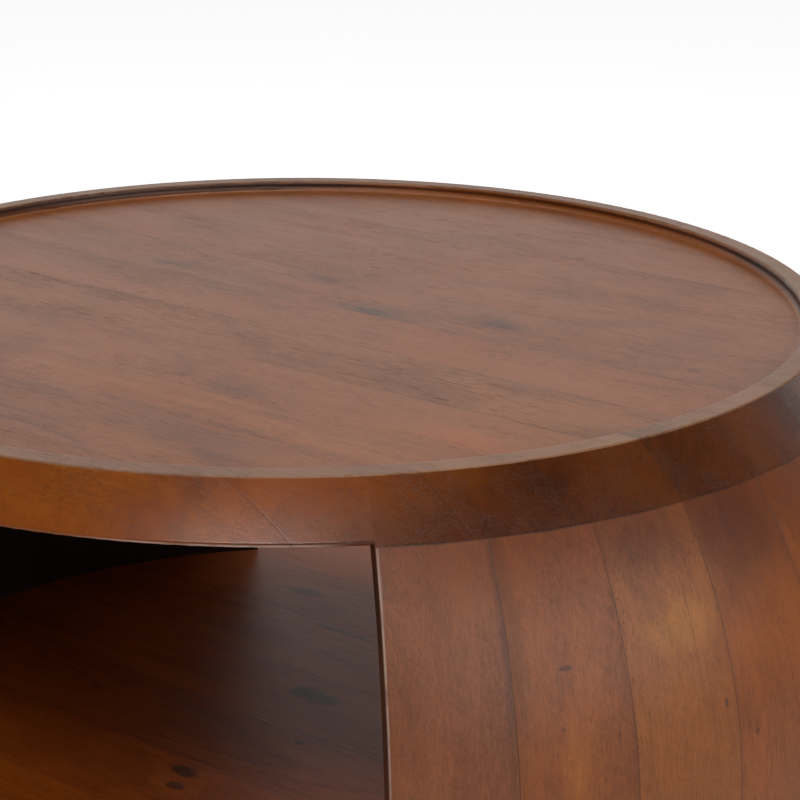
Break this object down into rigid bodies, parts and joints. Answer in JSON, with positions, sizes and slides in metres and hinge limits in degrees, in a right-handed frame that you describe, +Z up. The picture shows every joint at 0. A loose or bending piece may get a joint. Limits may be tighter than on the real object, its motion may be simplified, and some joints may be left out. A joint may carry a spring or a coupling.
{
  "type": "staved drum table",
  "caption": "Low round barrel-shaped coffee table of dark staved wood, with a rimmed tray top and an open compartment with a plank floor that runs through from front to back.",
  "frame": {"origin": "centre of the table's footprint on the floor", "axes": "+Z up, the openings face -Y and +Y, the closed staved sides are at -X and +X, and the boards of the top run along X"},
  "size_m": [0.914, 0.812, 0.406],
  "materials": {
    "top_wood": "dark brown stain under satin to semi-gloss lacquer",
    "stave_wood": "reddish brown stain under satin to semi-gloss lacquer",
    "base_wood": "dark brown stain under semi-gloss lacquer",
    "dowel_wood": "bare beech",
    "glide_plastic": "moulded, matte",
    "nail_steel": "plain steel"
  },
  "bodies": {
    "root": {"top_board_01": "top_wood", "top_board_02": "top_wood", "top_board_03": "top_wood", "top_board_04": "top_wood", "top_board_05": "top_wood", "top_board_06": "top_wood", "top_board_07": "top_wood", "top_board_08": "top_wood", "top_board_09": "top_wood", "top_board_10": "top_wood", "top_board_11": "top_wood", "base_board_01": "base_wood", "base_board_02": "base_wood", "base_board_03": "base_wood", "base_board_04": "base_wood", "base_board_05": "base_wood", "base_board_06": "base_wood", "base_board_07": "base_wood", "base_board_08": "base_wood", "base_board_09": "base_wood", "stave_right_01": "stave_wood", "stave_right_02": "stave_wood", "stave_right_03": "stave_wood", "stave_right_04": "stave_wood", "stave_right_05": "stave_wood", "stave_right_06": "stave_wood", "stave_right_07": "stave_wood", "stave_right_08": "stave_wood", "stave_right_09": "stave_wood", "stave_right_10": "stave_wood", "stave_left_01": "stave_wood", "stave_left_02": "stave_wood", "stave_left_03": "stave_wood", "stave_left_04": "stave_wood", "stave_left_05": "stave_wood", "stave_left_06": "stave_wood", "stave_left_07": "stave_wood", "stave_left_08": "stave_wood", "stave_left_09": "stave_wood", "stave_left_10": "stave_wood", "top_dowels": "dowel_wood", "base_dowels": "dowel_wood", "floor_glides": "glide_plastic", "glide_nails": "nail_steel"}
  },
  "joints": []
}
